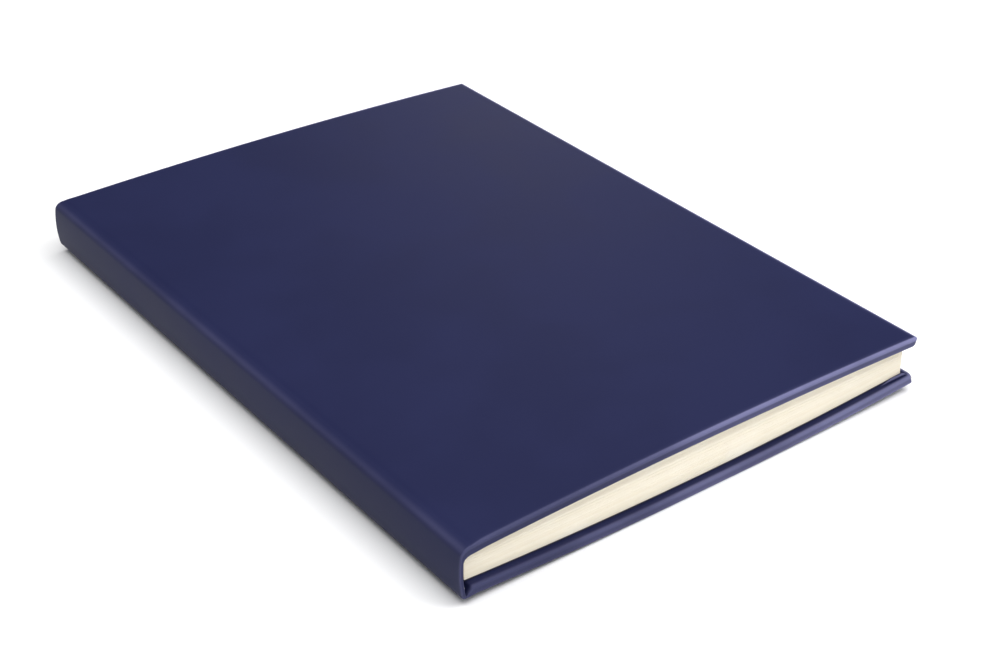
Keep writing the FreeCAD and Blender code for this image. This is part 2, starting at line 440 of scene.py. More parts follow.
def grain_group() -> bpy.types.NodeTree:
    """Fine pebbled grain of a coated cloth, with broad unevenness.

    Returns:
        A group that puts out Height and Mottle.
    """
    t = Tree.group("fine_grain", "ShaderNodeTree", {
        "Vector": ("NodeSocketVector", None),
        "Grain Scale": ("NodeSocketFloat", 2200.0),
        "Unevenness Scale": ("NodeSocketFloat", 60.0),
        "Unevenness": ("NodeSocketFloat", 0.5),
    }, {"Height": "NodeSocketFloat", "Mottle": "NodeSocketFloat"})
    place = t.start.outputs["Vector"]
    cells = t.field(t.add("ShaderNodeTexVoronoi",
                          {"Vector": place, "Scale": t.value("Grain Scale")},
                          feature="SMOOTH_F1"), "Distance")
    pores = t.field(t.add("ShaderNodeTexNoise", {"Vector": place, "Detail": 4.0,
                                                 "Scale": t.value("Grain Scale") * 0.6}), 0)
    broad = t.field(t.add("ShaderNodeTexNoise", {"Vector": place, "Detail": 2.0,
                                                 "Scale": t.value("Unevenness Scale")}), 0)
    height = cells * 0.6 + pores * 0.8 + broad * t.value("Unevenness")
    return t.finish(Height=height, Mottle=broad)


def fibre_group() -> bpy.types.NodeTree:
    """Fibres and formation of paper and board.

    Returns:
        A group that puts out Height and Cloud.
    """
    t = Tree.group("paper_fibre", "ShaderNodeTree", {
        "Vector": ("NodeSocketVector", None),
        "Fibre Scale": ("NodeSocketFloat", 3000.0),
        "Cloud Scale": ("NodeSocketFloat", 120.0),
    }, {"Height": "NodeSocketFloat", "Cloud": "NodeSocketFloat"})
    place = t.start.outputs["Vector"]
    stretched = t.add("ShaderNodeMapping", {"Vector": place, "Scale": (1.0, 0.35, 1.0),
                                            "Rotation": (0.0, 0.0, 0.6)})
    fibre = t.field(t.add("ShaderNodeTexNoise", {"Vector": stretched.outputs[0], "Detail": 5.0,
                                                 "Scale": t.value("Fibre Scale")}), 0)
    cloud = t.field(t.add("ShaderNodeTexNoise", {"Vector": place, "Detail": 3.0,
                                                 "Scale": t.value("Cloud Scale")}), 0)
    return t.finish(Height=fibre, Cloud=cloud)


def weave_group() -> bpy.types.NodeTree:
    """Plain weave seen square on, its threads along Y and Z.

    Returns:
        A group that puts out Height.
    """
    t = Tree.group("plain_weave", "ShaderNodeTree", {
        "Vector": ("NodeSocketVector", None),
        "Pitch": ("NodeSocketFloat", 0.0008),
    }, {"Height": "NodeSocketFloat"})
    parts = t.add("ShaderNodeSeparateXYZ", {"Vector": t.start.outputs["Vector"]})
    turn = Field(t.tree, parts.outputs["Y"]) / t.value("Pitch") * math.tau
    rise = Field(t.tree, parts.outputs["Z"]) / t.value("Pitch") * math.tau
    height = turn.math("SINE").math("ABSOLUTE").math("MAXIMUM", rise.math("SINE").math("ABSOLUTE"))
    return t.finish(Height=height)


@dataclass(frozen=True)
class Effects:
    """The shader groups that several finishes share."""

    grain: bpy.types.NodeTree = field(default_factory=grain_group)
    fibre: bpy.types.NodeTree = field(default_factory=fibre_group)
    weave: bpy.types.NodeTree = field(default_factory=weave_group)


class Surface:
    """A material under construction, with its Principled shader ready."""

    def __init__(self, name: str, **constants: object) -> None:
        """Make the material and set the shader's constants.

        Args:
            name: Name of the material.
            constants: Shader inputs, underscores in their names read as spaces.
        """
        self.material = bpy.data.materials.new(name)
        self.material.use_nodes = True
        self.tree = Tree(self.material.node_tree)
        self.shader = self.material.node_tree.nodes["Principled BSDF"]
        for key, setting in constants.items():
            self.shader.inputs[key.replace("_", " ")].default_value = setting
        self.place = self.tree.add("ShaderNodeTexCoord").outputs["Object"]

    def effect(self, group: bpy.types.NodeTree, **inputs: object) -> bpy.types.Node:
        """Place a shared effect with its own values.

        Args:
            group: The effect.
            inputs: Its inputs, underscores in their names read as spaces.

        Returns:
            The group's node.
        """
        node = self.tree.add("ShaderNodeGroup", node_tree=group)
        self.tree.feed(node, "Vector", self.place)
        for key, source in inputs.items():
            self.tree.feed(node, key.replace("_", " "), source)
        return node

    def out(self, node: bpy.types.Node, output: str) -> Field:
        """An output of a node as a field."""
        return self.tree.field(node, output)

    def attribute(self, name: str) -> Field:
        """A number stored on the piece's points."""
        node = self.tree.add("ShaderNodeAttribute", attribute_name=name)
        return self.tree.field(node, "Fac")

    def bump(self, height: Field, distance: float, strength: float = 1.0) -> None:
        """Feed a height into the shader's normal.

        Args:
            height: The height.
            distance: What a height of 1 stands for, in metres.
            strength: Share of the bump that is used.
        """
        node = self.tree.add("ShaderNodeBump", {"Height": height, "Distance": distance,
                                                "Strength": strength})
        self.tree.feed(self.shader, "Normal", node.outputs["Normal"])

    def feed(self, key: str, source: Field) -> None:
        """Feed a varying value into the shader."""
        self.tree.feed(self.shader, key, source)


@dataclass(frozen=True)
class LeatheretteFinish:
    """Satin navy leatherette, with a painted highlight along its edges and on the spine's ridge.
    """

    base: Colour = (0.0122, 0.0149, 0.0560, 1.0)
    deep: Colour = (0.0108, 0.0132, 0.0505, 1.0)
    # colour of the painted highlight on the edges and the spine's ridge
    painted_edge_highlight: Colour = (0.190, 0.190, 0.345, 1.0)
    roughness: float = 0.50

    def build(self, effects: Effects) -> bpy.types.Material:
        """Make the material.

        Args:
            effects: The shared shader groups.

        Returns:
            The material.
        """
        s = Surface("leatherette", Specular_IOR_Level=0.11)
        grain = s.effect(effects.grain, Grain_Scale=1900.0, Unevenness_Scale=30.0,
                         Unevenness=0.15)
        mottle, height = s.out(grain, "Mottle"), s.out(grain, "Height")
        colour = s.tree.mix(s.tree.remap(mottle, 0.35, 0.65), self.deep, self.base)
        # painted highlight: the light colour is mixed in by the amount stored on the points,
        # broken up by the mottle
        painted_highlight = s.attribute("painted_highlight") * s.tree.remap(mottle, 0.30, 0.75, 0.55, 1.0)
        colour = s.tree.mix(painted_highlight, colour, self.painted_edge_highlight)
        s.feed("Base Color", colour)
        s.feed("Roughness", s.tree.remap(mottle, 0.2, 0.8, self.roughness - 0.02,
                                         self.roughness + 0.03))
        s.bump(height, distance=0.00003, strength=0.45)
        return s.material


@dataclass(frozen=True)
class PaperFinish:
    """Uncoated paper or board of one colour, with fibres and soft clouding."""

    name: str
    light: Colour
    dark: Colour
    fibre_scale: float = 3000.0
    roughness: float = 0.85
    depth: float = 0.00002

    def build(self, effects: Effects) -> bpy.types.Material:
        """Make the material.

        Args:
            effects: The shared shader groups.

        Returns:
            The material.
        """
        s = Surface(self.name, Specular_IOR_Level=0.2)
        fibre = s.effect(effects.fibre, Fibre_Scale=self.fibre_scale)
        height = s.out(fibre, "Height")
        shade = s.out(fibre, "Cloud") * 0.6 + height * 0.4
        s.feed("Base Color", s.tree.mix(s.tree.remap(shade, 0.3, 0.7), self.dark, self.light))
        s.feed("Roughness", s.tree.remap(height, 0.2, 0.8, self.roughness - 0.08,
                                         self.roughness + 0.08))
        s.bump(height, self.depth, strength=0.5)
        return s.material


@dataclass(frozen=True)
class LeafFinish:
    """Cream ledger paper whose cut edges show one leaf after another."""

    light: Colour = (0.88, 0.82, 0.69, 1.0)
    dark: Colour = (0.83, 0.75, 0.59, 1.0)
    streak: Colour = (0.92, 0.88, 0.78, 1.0)

    def build(self, effects: Effects) -> bpy.types.Material:
        """Make the material.

        Args:
            effects: The shared shader groups.

        Returns:
            The material.
        """
        s = Surface("leaves", Specular_IOR_Level=0.15, Subsurface_Weight=0.08,
                    Subsurface_Radius=(0.6, 0.5, 0.35), Subsurface_Scale=0.0006)
        fibre = s.effect(effects.fibre, Fibre_Scale=2600.0, Cloud_Scale=70.0)
        height = s.out(fibre, "Height")
        colour = s.tree.mix(s.attribute("tint"), self.dark, self.light)
        cloud = s.tree.remap(s.out(fibre, "Cloud"), 0.45, 0.8, 0.0, 0.6)
        s.feed("Base Color", s.tree.mix(cloud, colour, self.streak))
        s.feed("Roughness", s.tree.remap(height, 0.2, 0.8, 0.78, 0.92))
        s.bump(height, distance=0.00002, strength=0.4)
        return s.material


@dataclass(frozen=True)
class ClothFinish:
    """Starched open-weave cotton or linen thread."""

    name: str
    light: Colour
    dark: Colour
    pitch: float = 0.0008

    def build(self, effects: Effects) -> bpy.types.Material:
        """Make the material.

        Args:
            effects: The shared shader groups.

        Returns:
            The material.
        """
        s = Surface(self.name, Specular_IOR_Level=0.2, Sheen_Weight=0.2)
        weave = s.out(s.effect(effects.weave, Pitch=self.pitch), "Height")
        fibre = s.out(s.effect(effects.fibre, Fibre_Scale=5000.0), "Height")
        s.feed("Base Color", s.tree.mix(s.tree.remap(weave, 0.4, 0.95), self.dark, self.light))
        s.feed("Roughness", s.tree.remap(fibre, 0.2, 0.8, 0.75, 0.95))
        s.bump(weave + fibre * 0.3, distance=0.0001, strength=0.6)
        return s.material


@dataclass(frozen=True)
class FloorFinish:
    """Pale studio floor."""

    light: Colour = (0.90, 0.90, 0.905, 1.0)
    dark: Colour = (0.885, 0.885, 0.89, 1.0)

    def build(self, effects: Effects) -> bpy.types.Material:
        """Make the material.

        Args:
            effects: The shared shader groups.

        Returns:
            The material.
        """
        s = Surface("studio_floor", Specular_IOR_Level=0.1, Roughness=0.9)
        cloud = s.out(s.effect(effects.fibre, Cloud_Scale=3.0), "Cloud")
        s.feed("Base Color", s.tree.mix(cloud, self.dark, self.light))
        return s.material


@dataclass
class Finishes:
    """Every material of the book, by record slot."""

    effects: Effects = field(default_factory=Effects)
    made: dict[Slot, bpy.types.Material] = field(default_factory=dict)

    def __post_init__(self) -> None:
        """Build them all."""
        finishes = {
            Slot.LEATHERETTE: LeatheretteFinish(),
            Slot.GREYBOARD: PaperFinish(
                "greyboard", light=(0.34, 0.32, 0.29, 1), dark=(0.24, 0.225, 0.20, 1),
                fibre_scale=1600.0, roughness=0.88, depth=0.00006),
            Slot.SPINE_CARD: PaperFinish(
                "spine_card", light=(0.38, 0.36, 0.32, 1), dark=(0.30, 0.28, 0.25, 1),
                fibre_scale=2200.0, depth=0.00004),
            Slot.ENDPAPER: PaperFinish(
                "endpaper", light=(0.040, 0.038, 0.056, 1), dark=(0.028, 0.027, 0.043, 1),
                fibre_scale=3200.0, roughness=0.72),
            Slot.LEAVES: LeafFinish(),
            Slot.THREAD: ClothFinish(
                "thread", light=(0.86, 0.83, 0.74, 1), dark=(0.62, 0.58, 0.48, 1), pitch=0.0004),
            Slot.MULL: ClothFinish(
                "mull", light=(0.84, 0.80, 0.71, 1), dark=(0.50, 0.46, 0.38, 1)),
            Slot.KRAFT: PaperFinish(
                "kraft_paper", light=(0.46, 0.31, 0.18, 1), dark=(0.33, 0.21, 0.115, 1),
                fibre_scale=2400.0, roughness=0.8),
        }
        self.made = {slot: finish.build(self.effects) for slot, finish in finishes.items()}

    def __getitem__(self, slot: Slot) -> bpy.types.Material:
        """Material of a slot."""
        return self.made[slot]


# ------------------------------------------------------------------ shape of the case

@dataclass(frozen=True)
class CoverFace:
    """Bowed outer face of one cover, an arc in the XZ plane."""

    side: Side
    middle: float
    height: float
    radius: float

    @property
    def inward(self) -> float:
        """+1 where the inside of the cover lies above its outer face, -1 below."""
        return 1.0 if self.side is Side.BACK else -1.0

    def at(self, x: float, depth: float = 0.0) -> float:
        """Height of the surface a depth inside the outer face.

        Args:
            x: Place across the cover.
            depth: Depth inside the outer face.

        Returns:
            The height.
        """
        rise = self.radius - math.sqrt(self.radius ** 2 - (x - self.middle) ** 2)
        outer = max(self.height + rise, 0.0) if self.side is Side.BACK else self.height - rise
        return outer + self.inward * depth


@dataclass(frozen=True)
class CaseSizes:
    """Sizes of the case, the same as the frame's.

    Attributes:
        strip: Thickness of the spine, its card included.
        square: Distance from the leaves to the covers' edges.
        board_start: X of the boards' slanted ends.
        edge_radius: Rounding of the covers' edges.
        corner_radius: Rounding of a fore-edge corner on the outer face.
        inner_corner_radius: The same on the inner face.
        tuck_lift: Height of a corner pleat's middle, as a share of its radius.
        belly: Outer face of the back cover.
        crown: Outer face of the front cover.
    """

    leatherette: float = 0.37
    board: float = 2.0
    paper: float = 0.15
    turn_in: float = 15.0
    square: float = 2.75
    board_start: float = -73.95
    leaf_back: float = -74.35
    leaf_width: float = 149.0
    spine_bulge: float = 0.8
    strip: float = 1.12
    corner_radius: float = 0.6
    inner_corner_radius: float = 2.2
    tuck_length: float = 11.0
    tuck_radius: float = 0.46
    tuck_lift: float = 0.72
    edge_radius: float = 0.72
    belly: CoverFace = CoverFace(Side.BACK, 0.0, -0.0923, 1219.0)
    crown: CoverFace = CoverFace(Side.FRONT, 6.8, 18.64, 2044.0)

    @property
    def cover(self) -> float:
        """Thickness of a covered board."""
        return self.board + 2 * self.leatherette

    @cached_property
    def spine_x(self) -> float:
        """Outer face of the spine at its upper and lower edges."""
        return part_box("back_cover_leatherette")[0][0] / MM

    @cached_property
    def fore_x(self) -> float:
        """Fore-edge of the covers."""
        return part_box("back_cover_leatherette")[1][0] / MM

    @cached_property
    def half_length(self) -> float:
        """Half the length of the covers."""
        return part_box("back_cover_leatherette")[1][1] / MM

    @property
    def leaf_fore(self) -> float:
        """Fore-edge of the leaves."""
        return self.leaf_back + self.leaf_width

    @property
    def leaf_half_length(self) -> float:
        """Half the length of the leaves."""
        return self.half_length - self.square

    def face(self, side: Side) -> CoverFace:
        """Outer face of a cover."""
        return self.belly if side is Side.BACK else self.crown


@dataclass(frozen=True)
class Station:
    """A place along the section of the covering.

    Its outer and its inner point, and how roundly the edge is turned there at head and tail.
    """

    outer: Point
    inner: Point
    turn: float = 1.0


@dataclass
class Covering:
    """Leatherette of one cover with its half of the spine, wrapped round three edges.

    Attributes:
        split_height: Height on the spine where the two coverings meet.
        bend: Radius of the bend from the spine to the cover.
        lining_end: Distance from the cover's face to where the inside of the spine ends.
        bend_grip: Share of the bend's radius that its curve's handles reach.
        joint_turn: How roundly the edges are turned along the spine and the joint.
        turn_run: Distance from the joint over which they become fully round.
        settle_run: Distance over which inner and outer stations fall in line.
        fold_thickness: Covering under the root of the back joint's fold.
        climb_run: Length of outer face that goes with the climb over the board's slanted end.
        climb_wait: Part of it that passes before the climb starts.
        interior_inset: Distance of the first ring inside the edge.
        dip_depth: How far the front covering sinks beside the joint.
        dip_place: Distance of that dip from the spine.
        dip_width: Its half width.
        waviness: Unevenness of the pasted cloth.
        wave_lengths: Size of its waves along X and Y.
        wave_start: Distance of the first waves from the spine.
        wave_fade: Distance from the edges over which they fade.
        edge_highlight: Painted highlight on the outer rounding, the middle of the edge and the
            inner rounding.
        spine_highlight_share: Share of that painted highlight which is left at the spine.
        ridge_highlight: Painted highlight on the spine's upper ridge.
        ridge_place: Distance of the ridge from the spine's face, and from the crown down.
        ridge_reach: Its half width.
        inner_round: Radius of the inner rounding, as a share of the outer one's.
        edge_hollow: How far the middle of the edge lies inside.
        tight_start: Inset at which the covering starts to leave the tightened edge.
        tight_run: Distance over which it does.
        pucker: Height of the puckers where the folded edge crosses the front joint.
        pucker_place: Their distance from the spine.
        pucker_width: Half the width that they take.
        pucker_inset: Inset at which they end.
        pucker_waves: How close they lie along X and Z, in radians per millimetre.
    """

    side: Side
    sizes: CaseSizes
    split_height: float = 3.05
    bend: dict[Side, float] = field(
        default_factory=lambda: {Side.BACK: 0.45, Side.FRONT: 2.1})
    lining_end: dict[Side, float] = field(
        default_factory=lambda: {Side.BACK: 0.6, Side.FRONT: 4.6})
    bend_grip: float = 0.62
    joint_turn: float = 0.4
    turn_run: float = 5.0
    settle_run: float = 24.0
    fold_thickness: float = 0.46
    climb_run: float = 4.2
    climb_wait: float = 0.35
    interior_inset: float = 2.2
    dip_depth: float = 0.13
    dip_place: float = 2.6
    dip_width: float = 1.1
    waviness: float = 0.05
    wave_lengths: tuple[float, float] = (34.0, 41.0)
    wave_start: float = 4.0
    wave_fade: float = 20.0
    # painted highlight on the edges, for each cover
    edge_highlight: dict[Side, Point3] = field(
        default_factory=lambda: {Side.BACK: (1.0, 0.6, 0.9), Side.FRONT: (1.0, 0.35, 0.5)})
    spine_highlight_share: float = 0.22
    ridge_highlight: float = 0.16
    ridge_place: Point = (0.35, 0.6)
    ridge_reach: float = 1.1
    inner_round: float = 0.8
    edge_hollow: float = 0.03
    tight_start: float = 0.7
    tight_run: float = 1.2
    pucker: float = 0.06
    pucker_place: float = 1.4
    pucker_width: float = 0.9
    pucker_inset: float = 1.2
    pucker_waves: Point = (7.0, 3.0)
    strip_steps: int = 14
    joint_steps: int = 14
    climb_steps: int = 60
    near_steps: int = 14
    board_steps: int = 42
    column_steps: int = 52
    corner_steps: int = 8

    def spine_outer(self, z: float) -> float:
        """Place of the spine's outer face.

        Args:
            z: Height on the spine.

        Returns:
            Its X there.
        """
        s = self.sizes
        low, high = s.belly.at(s.spine_x), s.crown.at(s.spine_x)
        t = (z - (low + high) / 2) / ((high - low) / 2)
        return s.spine_x - s.spine_bulge * (1 - t * t)

    def stations(self) -> list[Station]:
        """Stations from the middle of the spine round the joint and over the cover.

        Returns:
            Stations in order; those past the joint lie on the board.
        """
        face, s = self.sizes.face(self.side), self.sizes
        up = -face.inward
        edge = face.at(s.spine_x)
        soft = self.bend[self.side]
        strip_end = edge - up * (soft + 0.1)
        inner_end = edge - up * self.lining_end[self.side]
        out: list[Station] = []
        for t in steps(0.0, 1.0, self.strip_steps):
            z_out = lerp(self.split_height, strip_end, t)
            z_in = lerp(self.split_height, inner_end, t)
            out.append(Station((self.spine_outer(z_out), z_out),
                               (self.spine_outer(z_in) + s.strip, z_in), self.joint_turn))
        fold, climb = self.joint_inner(face, inner_end)
        outer = resample(self.joint_outer(face, edge, strip_end, soft, up), self.joint_steps)
        inner = resample(fold, self.joint_steps)
        out += [Station(a, b, self.joint_turn) for a, b in zip(outer[1:], inner[1:])]
        first = outer[-1][0]
        climb_end = first + (self.climb_run if climb else 0.0)
        lag = (climb[-1][0] if climb else inner[-1][0]) - climb_end
        rising = resample(climb, self.climb_steps) if climb else []
        for x in self.board_places(first, s.fore_x - self.interior_inset):
            if x < climb_end:
                share = max(x - first - self.climb_wait, 0.0) / (self.climb_run - self.climb_wait)
                inside = rising[round(share * self.climb_steps)]
            else:
                x_in = x + lag * (1 - smooth((x - climb_end) / self.settle_run))
                inside = (x_in, face.at(x_in, s.cover))
            turn = lerp(self.joint_turn, 1.0, smooth((x - first) / self.turn_run))
            out.append(Station((x, face.at(x) + self.dip(x) * face.inward), inside, turn))
        return out

    def board_places(self, first: float, last: float) -> list[float]:
        """X of the stations on the board, close together near the joint."""
        near = [first + self.climb_run * t ** 1.2 for t in steps(0.0, 1.0, self.near_steps)[1:]]
        return near + steps(near[-1], last, self.board_steps)[1:]

    def dip(self, x: float) -> float:
        """How far the covering sinks where it leaves the board for the spine."""
        if self.side is Side.BACK:
            return 0.0
        away = (x - self.sizes.spine_x - self.dip_place) / self.dip_width
        return self.dip_depth * math.exp(-away ** 2)

    def joint_outer(self, face: CoverFace, edge: float, strip_end: float, soft: float,
                    up: float) -> list[Point]:
        """Outer path from the spine face to the cover's face.

        Args:
            face: Face of the cover.
            edge: Its height at the spine.
            strip_end: Height where the spine's face ends.
            soft: Radius of the bend.
            up: +1 when the cover is above, -1 when below.

        Returns:
            Points of the path.
        """
        start = (self.spine_outer(strip_end), strip_end)
        before = (self.spine_outer(strip_end - up * 0.1), strip_end - up * 0.1)
        reach = soft * self.bend_grip
        grip = reach / math.dist(start, before)
        handle = tuple(a + (a - b) * grip for a, b in zip(start, before))
        end_x = self.sizes.spine_x + soft + 0.25
        sunk = self.dip(end_x) * face.inward
        end = (end_x, face.at(end_x) + sunk)
        toward = (end_x - reach, face.at(end_x - reach) + sunk)
        return bezier(start, handle, toward, end, 24)

    def joint_inner(self, face: CoverFace, inner_end: float) -> tuple[list[Point], list[Point]]:
        """Inner path from the inside of the spine to the inside of the cover.

        Args:
            face: Face of the cover.
            inner_end: Height where the inside of the spine ends.

        Returns:
            The fold at the joint, and the climb over the board's slanted end, which only the
            back cover has.
        """
        s = self.sizes
        start = (self.spine_outer(inner_end) + s.strip, inner_end)
        top = face.at(s.board_start, s.cover)
        if self.side is Side.FRONT:
            end = (s.board_start + 0.6, face.at(s.board_start + 0.6, s.cover))
            return bezier(start, (start[0] + 0.05, lerp(start[1], top, 0.75)),
                          (s.board_start - 0.9, top - 0.05), end, 20), []
        low = face.at(s.spine_x) + self.fold_thickness
        root = (start[0] + 0.18, low + 0.05)
        fold = bezier(start, (start[0], low - 0.01), (start[0] + 0.06, low - 0.01), root, 12)
        climb = [root, (s.board_start - 0.30, top - 0.62)]
        climb += bezier(climb[-1], (s.board_start - 0.06, top - 0.26),
                        (s.board_start + 0.02, top - 0.03),
                        (s.board_start + 0.42, face.at(s.board_start + 0.42, s.cover)), 8)[1:]
        return fold, climb

    def rings(self) -> list[tuple[float, float, float]]:
        """Profile of the wrapped edge.

        Returns:
            Inset from the edge, share of the way from outer to inner path, and painted highlight.
        """
        r, thick = self.sizes.edge_radius, self.sizes.cover
        low_r, halfway = r * self.inner_round, 1.3
        # painted highlight on the edge's outer rounding, its middle and its inner rounding
        outer_highlight, mid_highlight, inner_highlight = self.edge_highlight[self.side]
        rings = [(self.interior_inset, 0.0, 0.0), (halfway, 0.0, 0.05), (r + 0.12, 0.0, 0.3)]
        rings += [(r - r * math.sin(math.radians(a)), (r - r * math.cos(math.radians(a))) / thick,
                   outer_highlight) for a in steps(0.0, 90.0, 7)]
        rings += [(self.edge_hollow * math.sin(math.pi * t),
                   lerp(r, thick - low_r, t) / thick, mid_highlight) for t in (0.25, 0.5, 0.75)]
        rings += [(low_r - low_r * math.cos(math.radians(a)),
                   (thick - low_r + low_r * math.sin(math.radians(a))) / thick, inner_highlight)
                  for a in steps(0.0, 90.0, 5)]
        insets = (halfway, self.interior_inset, 5.0, 9.0, self.sizes.turn_in)
        return rings + [(inset, 1.0, 0.0) for inset in insets]

    def build(self) -> bpy.types.Object:
        """Mesh of the covering, one sheet thick.

        Returns:
            The object, with the painted highlight of its edges as a point attribute.
        """
        stations = self.stations()
        bm = bmesh.new()
        painted_highlight = bm.verts.layers.float.new("painted_highlight")
        rings = self.rings()
        loops = [self.ring_points(stations, inset, share) for inset, share, _ in rings]
        grid = []
        for points, (_, _, ring_highlight) in zip(loops, rings):
            row = []
            for point in points:
                vert = bm.verts.new(point)
                vert[painted_highlight] = self.painted_edge_highlight(point, ring_highlight)
                row.append(vert)
            grid.append(row)
        sheet(bm, grid)
        self.fill_face(bm, stations, painted_highlight)
        bmesh.ops.remove_doubles(bm, verts=bm.verts, dist=0.002)
        bmesh.ops.recalc_face_normals(bm, faces=bm.faces)
        self.face_outwards(bm)
        obj = mesh_object(f"{self.side.value}_covering", bm)
        wall = obj.modifiers.new("thickness", "SOLIDIFY")
        wall.thickness = self.sizes.leatherette * MM
        wall.offset = -1.0
        wall.use_rim = True
        return obj

    def painted_edge_highlight(self, point: Point3, edge_highlight: float) -> float:
        """Painted highlight at a point, most of it towards the fore-edge and a little on the
        spine's ridge.

        Args:
            point: The point.
            edge_highlight: Painted highlight of the ring that it lies on.

        Returns:
            The greater of the two painted highlights.
        """
        s = self.sizes
        # painted highlight: strongest towards the fore-edge, with a soft spot along the front
        # covering's spine ridge
        along = smooth((point[0] - s.spine_x) / (s.fore_x - s.spine_x))
        ridge = 0.0
        if self.side is Side.FRONT:
            away = math.hypot(point[0] - s.spine_x - self.ridge_place[0],
                              point[2] - s.crown.at(s.spine_x) + self.ridge_place[1])
            ridge = self.ridge_highlight * math.exp(-(away / self.ridge_reach) ** 2)
        return max(edge_highlight * lerp(self.spine_highlight_share, 1.0, along), ridge)

    def ring_points(self, stations: list[Station], inset: float, share: float
                    ) -> list[Point3]:
        """Points of one ring: along the tail, round the fore-edge and back along the head.

        Args:
            stations: Section of the covering.
            inset: Distance of the ring inside the edge.
            share: Share of the way from the outer to the inner path.

        Returns:
            Points in order.
        """
        s, face = self.sizes, self.sizes.face(self.side)
        half, limit = s.half_length - inset, s.fore_x - inset
        inner_half = s.half_length - self.interior_inset
        tail = []
        for station in stations:
            x = lerp(station.outer[0], station.inner[0], share)
            z = lerp(station.outer[1], station.inner[1], share)
            if x > limit:
                x, z = limit, face.at(limit, s.cover * share)
            eased = 1 - smooth((inset - self.tight_start) / self.tight_run)
            tightened = inset * (1 - station.turn) * eased
            tail.append((x, -half - tightened, z + self.crinkle(x, z, share, inset)))
        corner = []
        radius = max(lerp(s.corner_radius, s.inner_corner_radius, share) - inset, 0.0)
        if inset < self.interior_inset:
            for x, y in arc((limit - radius, -half + radius), radius, -90.0, 0.0,
                            self.corner_steps):
                corner.append((x, y, face.at(x, s.cover * share)))
        fore = []
        for y in self.columns():
            y = min(max(y, -half), half)
            fore.append((limit, y, face.at(limit, s.cover * share)))
        if inset >= self.interior_inset:
            point = (limit, max(-half, -inner_half), face.at(limit, s.cover * share))
            corner = [point] * (self.corner_steps + 1)
        head_corner = [(x, -y, z) for x, y, z in reversed(corner)]
        head = [(x, -y, z) for x, y, z in reversed(tail)]
        return tail + corner + fore + head_corner + head

    def crinkle(self, x: float, z: float, share: float, inset: float) -> float:
        """Small pucker of the folded covering where it crosses the front joint.

        Args:
            x: X of the point.
            z: Its height.
            share: Share of the way from the outer to the inner path.
            inset: Distance of its ring inside the edge.

        Returns:
            How far the point is raised.
        """
        if self.side is Side.BACK or inset > self.pucker_inset or not 0.0 < share < 1.0:
            return 0.0
        away = (x - self.sizes.spine_x - self.pucker_place) / self.pucker_width
        wave = math.sin(x * self.pucker_waves[0] + z * self.pucker_waves[1])
        return self.pucker * wave * math.exp(-away ** 2)

    def columns(self) -> list[float]:
        """Y of the columns of the outer face, from tail to head."""
        end = self.sizes.half_length - self.interior_inset
        return steps(-end, end, self.column_steps)

    def fill_face(self, bm: bmesh.types.BMesh, stations: list[Station],
                  painted_highlight: bmesh.types.BMLayerItem) -> None:
        """Add the outer face inside the first ring, faintly uneven as pasted cloth is.

        Args:
            bm: The covering so far.
            stations: Section of the covering.
            painted_highlight: Layer that takes the painted highlight.
        """
        rows = []
        end = self.sizes.half_length - self.interior_inset
        for station in stations:
            row = []
            for y in self.columns():
                x, z = station.outer
                margins = (end - abs(y), self.sizes.fore_x - self.interior_inset - x,
                           x - self.sizes.spine_x - self.wave_start)
                inside = smooth(min(margins) / self.wave_fade)
                place = Vector((x / self.wave_lengths[0], y / self.wave_lengths[1], 3.7))
                z += noise.noise(place) * self.waviness * inside
                vert = bm.verts.new((x, y, max(z, 0.0)))
                vert[painted_highlight] = self.painted_edge_highlight(vert.co, 0.0)
                row.append(vert)
            rows.append(row)
        sheet(bm, rows)

    def face_outwards(self, bm: bmesh.types.BMesh) -> None:
        """Turn the sheet so that the cover's face points away from the leaves.

        Args:
            bm: The sheet, its faces already alike.
        """
        up = -self.sizes.face(self.side).inward
        flat = [f for f in bm.faces if abs(f.normal.z) > 0.9
                and f.calc_center_median().length_squared < 50.0 ** 2]
        outer = max(flat, key=lambda f: up * f.calc_center_median().z)
        if outer.normal.z * up < 0:
            bmesh.ops.reverse_faces(bm, faces=bm.faces)


